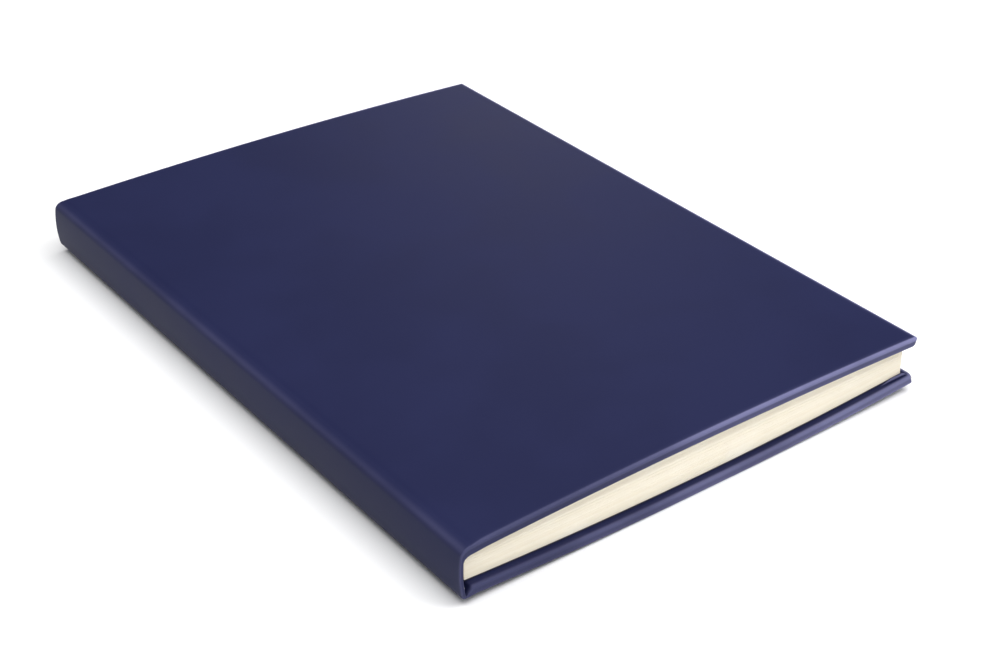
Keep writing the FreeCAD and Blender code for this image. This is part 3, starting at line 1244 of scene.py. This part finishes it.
@dataclass
class Case:
    """Both covers, the spine and what is pasted inside them."""

    finishes: Finishes
    sizes: CaseSizes = field(default_factory=CaseSizes)

    def build(self) -> None:
        """Build and dress every piece of the case."""
        for side in Side:
            self.covering(side)
            self.board(side)
            self.pastedown(side)
        for end in (-1, 1):
            for side in Side:
                self.corner_tuck(side, end)
        self.stiffener()
        self.endpaper_fold()

    def covering(self, side: Side) -> None:
        """Leatherette of one cover and half the spine, bending at the joint.

        Args:
            side: The cover.
        """
        obj = Covering(side, self.sizes).build()
        finish_mesh(obj, None, self.finishes[Slot.LEATHERETTE], 50.0)
        x = self.sizes.spine_x
        edge = self.sizes.face(side).at(x)
        if side is Side.BACK:
            start, end = (x + 1.7, 0.0, edge + 0.89), (x + 1.3, 0.0, edge + 1.09)
            metres(start)
            metres(end)
            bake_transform(obj)
            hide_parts("back_cover_leatherette", "spine_leatherette")
        else:
            start, end = (x + 0.3, 0.0, edge - 2.6), (x + 2.1, 0.0, edge - 0.2)
            metres(start)
            metres(end)
            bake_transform(obj)
            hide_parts("front_cover_leatherette")

    def slab(self, name: str, xs: Sequence[float], ys: Sequence[float],
             low: Surface2, high: Surface2) -> bpy.types.Object:
        """Closed thin plate between two surfaces.

        Args:
            name: Name of the piece.
            xs: X of its columns, rising.
            ys: Y of its rows, rising.
            low: Height of the under surface at x, y.
            high: Height of the upper surface at x, y.

        Returns:
            The object.
        """
        bm = bmesh.new()
        layers = [[[bm.verts.new((x, y, f(x, y))) for y in ys] for x in xs] for f in (low, high)]
        under, upper = layers
        nx, ny = len(xs) - 1, len(ys) - 1
        for i in range(nx):
            for j in range(ny):
                bm.faces.new((upper[i][j], upper[i + 1][j], upper[i + 1][j + 1], upper[i][j + 1]))
                bm.faces.new((under[i][j], under[i][j + 1], under[i + 1][j + 1], under[i + 1][j]))
        for i in range(nx):
            bm.faces.new((under[i][0], under[i + 1][0], upper[i + 1][0], upper[i][0]))
            bm.faces.new((under[i][ny], upper[i][ny], upper[i + 1][ny], under[i + 1][ny]))
        for j in range(ny):
            bm.faces.new((under[0][j], upper[0][j], upper[0][j + 1], under[0][j + 1]))
            bm.faces.new((under[nx][j], under[nx][j + 1], upper[nx][j + 1], upper[nx][j]))
        return mesh_object(name, bm)

    def between(self, face: CoverFace, near: Surface2, far: Surface2
                ) -> tuple[Surface2, Surface2]:
        """Lower and upper surface, from two depths inside a cover's outer face.

        Args:
            face: The cover's outer face.
            near: Depth at x, y of the surface nearer to it.
            far: Depth at x, y of the other surface.

        Returns:
            The two surfaces as functions of x and y, the lower one first.
        """
        def surface(depth: Surface2) -> Surface2:
            """Height of the surface at a depth that varies over the cover."""
            return lambda x, y: face.at(x, depth(x, y))
        pair = (surface(near), surface(far))
        return pair if face.side is Side.BACK else pair[::-1]

    def board(self, side: Side) -> None:
        """Greyboard of a cover, its spine end eased.

        Args:
            side: The cover.
        """
        s, face = self.sizes, self.sizes.face(side)
        clear, rounded, reach = 0.02, 0.25, 0.4
        end = s.half_length - s.leatherette - 0.05
        xs = [s.board_start + 0.15, s.board_start + 0.6]
        xs += steps(s.board_start + 3, s.fore_x - s.leatherette - 0.05, 24)
        ys = steps(-end, end, 24)

        def far(x: float, y: float) -> float:
            """Depth of the board's inner face, eased at the joint, head and tail."""
            ease = 0.5 * (1 - smooth((x - xs[0]) / 0.5))
            edge = rounded * (1 - smooth((end - abs(y)) / reach))
            return s.leatherette + s.board - clear - max(ease, edge)

        def near(x: float, y: float) -> float:
            """Depth of the board's outer face, eased round three edges."""
            inside = min(end - abs(y), xs[-1] - x)
            return s.leatherette + clear + rounded * (1 - smooth(inside / reach))

        low, high = self.between(face, near, far)
        obj = self.slab(f"{side.value}_greyboard", xs, ys, low, high)
        finish_mesh(obj, f"{side.value}_cover", self.finishes[Slot.GREYBOARD])
        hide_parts(f"{side.value}_board")

    def pastedown(self, side: Side) -> None:
        """Endpaper pasted over the board, sinking inside the turn-ins.

        Args:
            side: The cover.
        """
        s, face = self.sizes, self.sizes.face(side)
        inner_half, inner_fore = s.half_length - s.turn_in, s.fore_x - s.turn_in
        sink = 1.0
        xs = steps(s.leaf_back + 0.1, inner_fore - 1.5, 26)
        xs += steps(inner_fore - sink, inner_fore + sink, 8)
        xs += steps(inner_fore + 3, s.leaf_fore, 4)
        head = steps(inner_half - sink, inner_half + sink, 8)
        head += steps(inner_half + 3, s.leaf_half_length, 4)
        ys = [-y for y in reversed(head)] + steps(-inner_half + 3, inner_half - 3, 24) + head

        def sunk(x: float, y: float) -> float:
            """How far the paper sinks inside the turn-ins."""
            inside = min(inner_half - abs(y), inner_fore - x) + 0.6
            return s.leatherette * smooth(inside / sink) * 0.92

        def near(x: float, y: float) -> float:
            """Depth of the pasted face."""
            return s.cover + 0.01 - sunk(x, y)

        def far(x: float, y: float) -> float:
            """Depth of the free face."""
            return s.cover + s.paper - sunk(x, y)

        low, high = self.between(face, near, far)
        obj = self.slab(f"{side.value}_pasted_endpaper", xs, ys, low, high)
        finish_mesh(obj, f"{side.value}_cover", self.finishes[Slot.ENDPAPER])
        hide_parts(f"{side.value}_pastedown")

    def corner_tuck(self, side: Side, end: int) -> None:
        """Rolled pleat of folded-in covering that runs into a fore-edge corner.

        Args:
            side: The cover.
            end: -1 at the tail, +1 at the head.
        """
        s, face = self.sizes, self.sizes.face(side)
        count, around, taper = 30, 14, 0.25
        path = bezier((s.fore_x - s.tuck_length, s.half_length - 2.18),
                      (s.fore_x - 7.0, s.half_length - 2.15),
                      (s.fore_x - 2.6, s.half_length - 2.10),
                      (s.fore_x - 1.45, s.half_length - 1.55), count)
        bm = bmesh.new()
        painted_highlight = bm.verts.layers.float.new("painted_highlight")
        rings = []
        for k, (x, y) in enumerate(path):
            before, after = path[max(k - 1, 0)], path[min(k + 1, count)]
            run = (after[0] - before[0], after[1] - before[1])
            length = math.hypot(*run)
            across = (run[1] / length, -run[0] / length)
            t = k / count
            radius = s.tuck_radius * smooth(t * 2.2 + 0.15)
            radius *= 1 - 0.85 * smooth((t - 1 + taper) / taper)
            ring = []
            for angle in steps(0.0, math.tau, around)[:-1]:
                out, rise = radius * math.cos(angle), radius * (math.sin(angle) + s.tuck_lift)
                place = (x + across[0] * out, end * (y + across[1] * out),
                         face.at(x, s.cover + rise))
                ring.append(bm.verts.new(place))
                # painted highlight on the upper half of the pleat's roll
                ring[-1][painted_highlight] = 0.6 * smooth((math.sin(angle) + 0.1) * 1.2)
            rings.append(ring)
        tube(bm, rings)
        place = "tail" if end < 0 else "head"
        obj = mesh_object(f"{side.value}_corner_tuck_{place}", bm)
        finish_mesh(obj, f"{side.value}_cover",
                    self.finishes[Slot.LEATHERETTE], 60.0)

    def stiffener(self) -> None:
        """Card inside the spine: the frame's own piece in its finish."""
        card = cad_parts["spine_stiffener"]
        card.data.materials.clear()
        card.data.materials.append(self.finishes[Slot.SPINE_CARD])

    def endpaper_fold(self) -> None:
        """Fold that joins the back pastedown to the back flyleaf."""
        s = self.sizes
        lap = 0.3
        z_low = s.belly.at(s.leaf_back, s.cover + 0.02)
        z_high = max(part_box("back_flyleaf")[0][2] / MM,
                     s.belly.at(s.leaf_back, s.cover + s.paper * 2 + 0.05))
        middle, reach = (z_low + z_high) / 2, (z_high - z_low) / 2
        outline = [(s.leaf_back + lap, z_low)]
        outline += arc((s.leaf_back, middle), reach, 270.0, 90.0, 10)
        outline += [(s.leaf_back + lap, z_high)]
        bm = bmesh.new()
        tube(bm, [[bm.verts.new((x, y, z)) for x, z in outline]
                  for y in steps(-s.leaf_half_length, s.leaf_half_length, 12)])
        obj = mesh_object("back_endpaper_fold", bm)
        finish_mesh(obj, None, self.finishes[Slot.ENDPAPER])
        metres((s.leaf_back, 0.0, z_low))
        metres((s.leaf_back, 0.0, z_high))
        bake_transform(obj)


# ------------------------------------------------------------------ leaves

def leaf_stack_tree() -> bpy.types.NodeTree:
    """Geometry Nodes for a stack of bowed leaves between two curved partings.

    Returns:
        The tree; its lengths are in metres.
    """
    number, whole = "NodeSocketFloat", "NodeSocketInt"
    t = Tree.group("leaf_stack", "GeometryNodeTree", {
        "Leaf Count": (whole, 8), "Back X": (number, 0.0), "Width": (number, 0.149),
        "Length": (number, 0.21), "Low Back": (number, 0.0), "Low Fore": (number, 0.0),
        "Low Bow": (number, 0.0), "High Back": (number, 0.001), "High Fore": (number, 0.001),
        "High Bow": (number, 0.0), "Trim": (number, 0.00006), "Fold": (number, 0.0003),
        "Fill": (number, 0.94), "Seed": (whole, 1), "Material": ("NodeSocketMaterial", None),
    }, {"Geometry": "NodeSocketGeometry"})
    points = t.add("GeometryNodeMeshLine", {"Count": t.value("Leaf Count"),
                                            "Offset": (0.0, 0.0, 0.0)})
    index = t.add("GeometryNodeInputIndex")
    ranked = t.add("GeometryNodeStoreNamedAttribute",
                   {"Geometry": points.outputs["Mesh"], "Name": "leaf",
                    "Value": index.outputs[0]}, data_type="FLOAT", domain="POINT")
    sheet = t.add("GeometryNodeMeshCube", {"Size": (1.0, 1.0, 1.0), "Vertices X": 33,
                                           "Vertices Y": 9, "Vertices Z": 2})
    placed = t.add("GeometryNodeInstanceOnPoints", {"Points": ranked.outputs[0],
                                                    "Instance": sheet.outputs["Mesh"]})
    real = t.add("GeometryNodeRealizeInstances", {"Geometry": placed.outputs[0]})
    leaf = t.field(t.add("GeometryNodeInputNamedAttribute", {"Name": "leaf"},
                         data_type="FLOAT"), "Attribute")

    def chance(low: float, high: float, salt: int) -> Field:
        """Random value of each leaf, another one for every salt."""
        node = t.add("FunctionNodeRandomValue", {"Min_001": low, "Max_001": high, "ID": leaf,
                                                 "Seed": t.value("Seed") * 7.0 + float(salt)},
                     data_type="FLOAT")
        return t.field(node, "Value_001")

    parts = t.add("ShaderNodeSeparateXYZ",
                  {"Vector": t.add("GeometryNodeInputPosition").outputs[0]})
    along = Field(t.tree, parts.outputs["X"]) + 0.5
    across, depth = Field(t.tree, parts.outputs["Y"]), Field(t.tree, parts.outputs["Z"])
    count = t.value("Leaf Count")
    middle = ((leaf + 0.5) / count * 2.0 - 1.0)
    rounding = (middle * middle * -1.0 + 1.0).math("SQRT") * -1.0 + 1.0
    back = (along * -1.0 + 1.0).math("POWER", 12.0)
    x = t.value("Back X") + along * (t.value("Width") + chance(-1.0, 0.0, 1) * t.value("Trim"))
    x = x + rounding * t.value("Fold") * back
    y = across * (t.value("Length") + chance(-1.0, 0.0, 2) * t.value("Trim") * 2.0)
    arch = along * (along * -1.0 + 1.0) * 4.0

    def parting(name: str) -> Field:
        """Height of one parting along the leaf."""
        low, high = t.value(f"{name} Back"), t.value(f"{name} Fore")
        return low + (high - low) * along + t.value(f"{name} Bow") * arch

    level = (leaf + 0.5 + depth * t.value("Fill")) / count
    z = parting("Low") + (parting("High") - parting("Low")) * level
    place = t.add("ShaderNodeCombineXYZ", {"X": x, "Y": y, "Z": z})
    bent = t.add("GeometryNodeSetPosition", {"Geometry": real.outputs[0],
                                             "Position": place.outputs[0]})
    tinted = t.add("GeometryNodeStoreNamedAttribute",
                   {"Geometry": bent.outputs[0], "Name": "tint", "Value": chance(0.35, 1.0, 3)},
                   data_type="FLOAT", domain="POINT")
    dressed = t.add("GeometryNodeSetMaterial", {"Geometry": tinted.outputs[0],
                                                "Material": t.start.outputs["Material"]})
    return t.finish(Geometry=dressed.outputs[0])


def link_stitch_tree() -> bpy.types.NodeTree:
    """Geometry Nodes for the link stitches over one fold, a pair at each station.

    Returns:
        The tree; its lengths are in metres.
    """
    number, whole = "NodeSocketFloat", "NodeSocketInt"
    t = Tree.group("link_stitches", "GeometryNodeTree", {
        "Stations": (whole, 6), "Pitch": (number, 0.03), "X": (number, 0.0),
        "Low": (number, 0.0), "Height": (number, 0.0007), "Thread": (number, 0.00024),
        "Spread": (number, 0.0006), "Seed": (whole, 1), "Material": ("NodeSocketMaterial", None),
    }, {"Geometry": "NodeSocketGeometry"})
    count, pitch = t.value("Stations"), t.value("Pitch")
    start = t.add("ShaderNodeCombineXYZ", {"X": t.value("X"), "Y": (count - 1.0) * pitch * -0.5,
                                           "Z": t.value("Low")})
    stride = t.add("ShaderNodeCombineXYZ", {"Y": pitch})
    points = t.add("GeometryNodeMeshLine", {"Count": count, "Start Location": start.outputs[0],
                                            "Offset": stride.outputs[0]})
    low = t.add("ShaderNodeCombineXYZ", {"Y": t.value("Spread") * -0.5})
    tip = t.add("ShaderNodeCombineXYZ", {"X": t.value("Thread") * -0.35,
                                         "Z": t.value("Height")})
    far = t.add("ShaderNodeCombineXYZ", {"Y": t.value("Spread") * 0.5})
    loop = t.add("GeometryNodeCurveQuadraticBezier", {"Resolution": 8, "Start": low.outputs[0],
                                                      "Middle": tip.outputs[0],
                                                      "End": far.outputs[0]})
    ring = t.add("GeometryNodeCurvePrimitiveCircle", {"Resolution": 6,
                                                      "Radius": t.value("Thread") * 0.5})
    strand = t.add("GeometryNodeCurveToMesh", {"Curve": loop.outputs[0],
                                               "Profile Curve": ring.outputs[0],
                                               "Fill Caps": True})
    sway = t.add("FunctionNodeRandomValue", {"Min_001": -0.12, "Max_001": 0.12,
                                             "Seed": t.value("Seed")}, data_type="FLOAT")
    turn = t.add("ShaderNodeCombineXYZ", {"X": t.field(sway, "Value_001")})
    placed = t.add("GeometryNodeInstanceOnPoints", {"Points": points.outputs[0],
                                                    "Instance": strand.outputs[0],
                                                    "Rotation": turn.outputs[0]})
    real = t.add("GeometryNodeRealizeInstances", {"Geometry": placed.outputs[0]})
    dressed = t.add("GeometryNodeSetMaterial", {"Geometry": real.outputs[0],
                                                "Material": t.start.outputs["Material"]})
    return t.finish(Geometry=dressed.outputs[0])


def grow(name: str, tree: bpy.types.NodeTree, **inputs: object) -> bpy.types.Object:
    """Run a Geometry Nodes tree and keep its result as a plain mesh.

    Args:
        name: Name of the piece.
        tree: The tree.
        inputs: Its inputs, underscores in their names read as spaces.

    Returns:
        The object, with no modifier left on it.
    """
    carrier = bpy.data.objects.new(f"{name}_seed", bpy.data.meshes.new(f"{name}_seed"))
    bpy.context.scene.collection.objects.link(carrier)
    modifier = carrier.modifiers.new("grow", "NODES")
    modifier.node_group = tree
    sockets = {item.name: item.identifier for item in tree.interface.items_tree
               if item.in_out == "INPUT"}
    for key, setting in inputs.items():
        modifier[sockets[key.replace("_", " ")]] = setting
    graph = bpy.context.evaluated_depsgraph_get()
    mesh = bpy.data.meshes.new_from_object(carrier.evaluated_get(graph))
    carrier.modifiers.remove(modifier)
    bpy.data.objects.remove(carrier)
    mesh.name = name
    obj = bpy.data.objects.new(name, mesh)
    bpy.context.scene.collection.objects.link(obj)
    return obj


@dataclass
class TextBlock:
    """Flyleaves, sewn sections and what holds them together at the back.

    Attributes:
        flat_level: Parting between sections that isn't bowed, the covers bowing each way.
        leaves: Leaves in a section.
        leaf_gap: Air between a flyleaf and the sheet beside it.
        station_pitch: Distance between pairs of stitches.
        bend_reach: Half the height of backing about each parting; the points made from it are not
            used further.
    """

    finishes: Finishes
    sizes: CaseSizes = field(default_factory=CaseSizes)
    section_count: int = 12
    flat_level: int = 7
    leaves: int = 8
    leaf_gap: float = 0.05
    stations: int = 6
    station_pitch: float = 30.0
    thread: float = 0.24
    thread_gap: float = 0.04
    bend_reach: float = 0.33

    def parting(self, level: float) -> Point3:
        """Surface between two sections.

        Args:
            level: Number of sections below it.

        Returns:
            Its height at the back, its height at the fore-edge and its bow.
        """
        s = self.sizes
        depth = s.cover + s.paper * 2 + self.leaf_gap * 1.5
        ends = []
        for x in (s.leaf_back, s.leaf_fore):
            low, high = s.belly.at(x, depth), s.crown.at(x, depth)
            ends.append(lerp(low, high, level / self.section_count))
        if level < self.flat_level:
            face, rank = s.belly, 1 - level / self.flat_level
        else:
            face = s.crown
            rank = (level - self.flat_level) / (self.section_count - self.flat_level)
        return ends[0], ends[1], self.bow(face) * rank

    def bow(self, face: CoverFace) -> float:
        """How far a cover's face rises above its chord over the leaves."""
        back, fore = self.sizes.leaf_back, self.sizes.leaf_fore
        return face.at((back + fore) / 2) - (face.at(back) + face.at(fore)) / 2

    def build(self) -> None:
        """Build and dress every piece of the block."""
        stack, stitches = leaf_stack_tree(), link_stitch_tree()
        for number in range(1, self.section_count + 1):
            self.section(stack, number)
            self.stitches(stitches, number)
        for side in Side:
            self.flyleaf(stack, side)
        self.backing("mull", Slot.MULL, distance=0.40, thickness=0.10, half_length=90.0)
        self.backing("spine_lining", Slot.KRAFT, distance=0.50, thickness=0.08,
                     half_length=102.0)

    def section(self, stack: bpy.types.NodeTree, number: int) -> None:
        """One folded section of leaves.

        Args:
            stack: Tree that makes the leaves.
            number: Number of the section, from the back cover up.
        """
        name = f"section_{number:02d}"
        low, high = self.parting(number - 1), self.parting(number)
        gap = 0.004
        s, shy = self.sizes, self.set_back(number)
        obj = grow(f"{name}_leaves", stack, Leaf_Count=self.leaves,
                   Back_X=(s.leaf_back + shy) * MM, Width=(s.leaf_width - shy) * MM,
                   Length=s.leaf_half_length * 2 * MM, Low_Back=(low[0] + gap) * MM,
                   Low_Fore=(low[1] + gap) * MM, Low_Bow=low[2] * MM,
                   High_Back=(high[0] - gap) * MM, High_Fore=(high[1] - gap) * MM,
                   High_Bow=high[2] * MM, Trim=0.00007, Fold=0.00030, Fill=0.93,
                   Seed=number, Material=self.finishes[Slot.LEAVES])
        finish_mesh(obj, name, self.finishes[Slot.LEAVES])
        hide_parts(name)

    def set_back(self, number: int) -> float:
        """How far the fold of a section lies inside the others, to clear the rounded joint."""
        last = self.section_count
        return {1: 0.10, last - 2: 0.06, last - 1: 0.22, last: 0.55}.get(number, 0.0)

    def flyleaf(self, stack: bpy.types.NodeTree, side: Side) -> None:
        """Free half of an endpaper.

        Args:
            stack: Tree that makes the leaf.
            side: The cover that it lies against.
        """
        s, face = self.sizes, self.sizes.face(side)
        depths = (s.cover + s.paper + self.leaf_gap, s.cover + s.paper * 2 + self.leaf_gap)
        low_depth, high_depth = depths if side is Side.BACK else depths[::-1]
        bow = self.bow(face) * MM
        name = f"{side.value}_flyleaf"
        obj = grow(f"{name}_sheet", stack, Leaf_Count=1, Back_X=s.leaf_back * MM,
                   Width=s.leaf_width * MM, Length=s.leaf_half_length * 2 * MM,
                   Low_Back=face.at(s.leaf_back, low_depth) * MM,
                   Low_Fore=face.at(s.leaf_fore, low_depth) * MM, Low_Bow=bow,
                   High_Back=face.at(s.leaf_back, high_depth) * MM,
                   High_Fore=face.at(s.leaf_fore, high_depth) * MM, High_Bow=bow,
                   Trim=0.0, Fold=0.0, Fill=0.98, Seed=1,
                   Material=self.finishes[Slot.ENDPAPER])
        finish_mesh(obj, name, self.finishes[Slot.ENDPAPER])
        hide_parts(name)

    def stitches(self, tree: bpy.types.NodeTree, number: int) -> None:
        """Link stitches over the fold of one section.

        Args:
            tree: Tree that makes the stitches.
            number: Number of the section.
        """
        low, high = self.parting(number - 1)[0], self.parting(number)[0]
        x = self.sizes.leaf_back - self.thread * 0.5 - self.thread_gap
        obj = grow(f"link_stitches_{number:02d}", tree, Stations=self.stations,
                   Pitch=self.station_pitch * MM, X=x * MM, Low=(low + 0.18) * MM,
                   Height=(high - low - 0.3) * 2 * MM, Thread=self.thread * MM,
                   Spread=0.0012, Seed=number, Material=self.finishes[Slot.THREAD])
        finish_mesh(obj, f"section_{number:02d}", self.finishes[Slot.THREAD])
        if number == self.section_count:
            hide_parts("sewing_thread")

    def backing(self, node: str, slot: Slot, distance: float, thickness: float,
                half_length: float) -> None:
        """A layer glued over the folds, one strip for each section.

        Args:
            node: Node of the frame that the strips stand for.
            slot: Material slot.
            distance: Outer face of the layer behind the folds.
            thickness: Of the layer.
            half_length: Half its length.
        """
        x_out = self.sizes.leaf_back - distance
        x_in = x_out + thickness
        ys = steps(-half_length, half_length, 36)
        for number in range(1, self.section_count):
            low = self.parting(number - 0.5)[0] if number > 1 else self.parting(0)[0] + 0.2
            top = number == self.section_count - 1
            high = self.parting(number + 1)[0] - 0.2 if top else self.parting(number + 0.5)[0]
            hinge = self.parting(number)[0]
            bm = bmesh.new()
            outline = [(x_in, z) for z in steps(low, high, 6)]
            outline += [(x_out, z) for z in steps(high, low, 6)]
            tube(bm, [[bm.verts.new((x, y, z)) for x, z in outline] for y in ys])
            obj = mesh_object(f"{node}_strip_{number:02d}", bm)
            finish_mesh(obj, None, self.finishes[slot])
            metres((x_out, 0.0, hinge - self.bend_reach))
            metres((x_out, 0.0, hinge + self.bend_reach))
            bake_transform(obj)
            if number == 1:
                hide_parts(node)


# ------------------------------------------------------------------ studio

@dataclass(frozen=True)
class Softbox:
    """A square studio light aimed at the book, its sizes in metres and its power in watts."""

    name: str
    place: Point3
    size: float
    power: float
    colour: Point3 = (1.0, 1.0, 1.0)
    aim: Point3 = (0.0, 0.0, 0.0)

    def build(self) -> None:
        """Put the light into the scene."""
        data = bpy.data.lights.new(self.name, "AREA")
        data.shape = "SQUARE"
        data.size = self.size
        data.energy = self.power
        data.color = self.colour
        obj = bpy.data.objects.new(self.name, data)
        obj.location = self.place
        direction = Vector(self.aim) - Vector(self.place)
        obj.rotation_euler = direction.to_track_quat("-Z", "Y").to_euler()
        bpy.context.scene.collection.objects.link(obj)


@dataclass(frozen=True)
class Studio:
    """Floor, lights, surroundings and camera."""

    floor_size: float = 12.0
    ambient: float = 0.15
    lens: float = 65.25
    place: Point3 = (-0.2652, -0.3785, 0.2763)
    right: Point3 = (0.78202, -0.62301, 0.01750)
    up: Point3 = (0.29918, 0.39988, 0.86636)
    shift: Point = (-0.0739, -0.0474)
    lights: tuple[Softbox, ...] = (
        Softbox("overhead", (-0.1, -0.3, 2.3), size=2.8, power=79.0),
        Softbox("front_right", (0.78, -0.74, 0.98), size=0.8, power=11.0),
        Softbox("front_low", (0.5, -2.3, 0.7), size=1.1, power=8.0),
        Softbox("right_back", (1.55, 1.95, 0.5), size=0.6, power=3.4,
                colour=(1.0, 0.95, 0.88)),
        Softbox("left_back", (-1.5, 2.2, 1.1), size=0.9, power=4.5),
    )

    def build(self, effects: Effects) -> None:
        """Build the studio.

        Args:
            effects: The shared shader groups.
        """
        self.floor(effects)
        for light in self.lights:
            light.build()
        world = bpy.data.worlds.new("surroundings")
        world.use_nodes = True
        background = world.node_tree.nodes["Background"]
        background.inputs["Color"].default_value = (0.95, 0.97, 1.0, 1.0)
        background.inputs["Strength"].default_value = self.ambient
        scene = bpy.context.scene
        scene.world = world
        scene.view_settings.view_transform = "Standard"
        scene.view_settings.look = "None"
        self.camera()

    def floor(self, effects: Effects) -> None:
        """Plain pale floor under the book.

        Args:
            effects: The shared shader groups.
        """
        bm = bmesh.new()
        bmesh.ops.create_grid(bm, x_segments=2, y_segments=2, size=self.floor_size / 2 / MM)
        obj = mesh_object("studio_floor", bm)
        obj.data.materials.append(FloorFinish().build(effects))

    def camera(self) -> None:
        """Camera over the near corner of spine and tail."""
        data = bpy.data.cameras.new("camera")
        data.lens = self.lens
        data.sensor_width = 36.0
        data.shift_x, data.shift_y = self.shift
        data.clip_start = 0.01
        right, up = Vector(self.right).normalized(), Vector(self.up).normalized()
        back = right.cross(up).normalized()
        turned = Matrix((right, back.cross(right), back)).transposed().to_4x4()
        obj = bpy.data.objects.new("camera", data)
        obj.matrix_world = Matrix.Translation(self.place) @ turned
        bpy.context.scene.collection.objects.link(obj)
        bpy.context.scene.camera = obj


def main() -> None:
    """Build the book and its studio in order."""
    logging.basicConfig(level=logging.INFO, format="%(name)s %(message)s")
    finishes = Finishes()
    Case(finishes).build()
    TextBlock(finishes).build()
    Studio().build(finishes.effects)


if __name__ == "__main__":
    main()
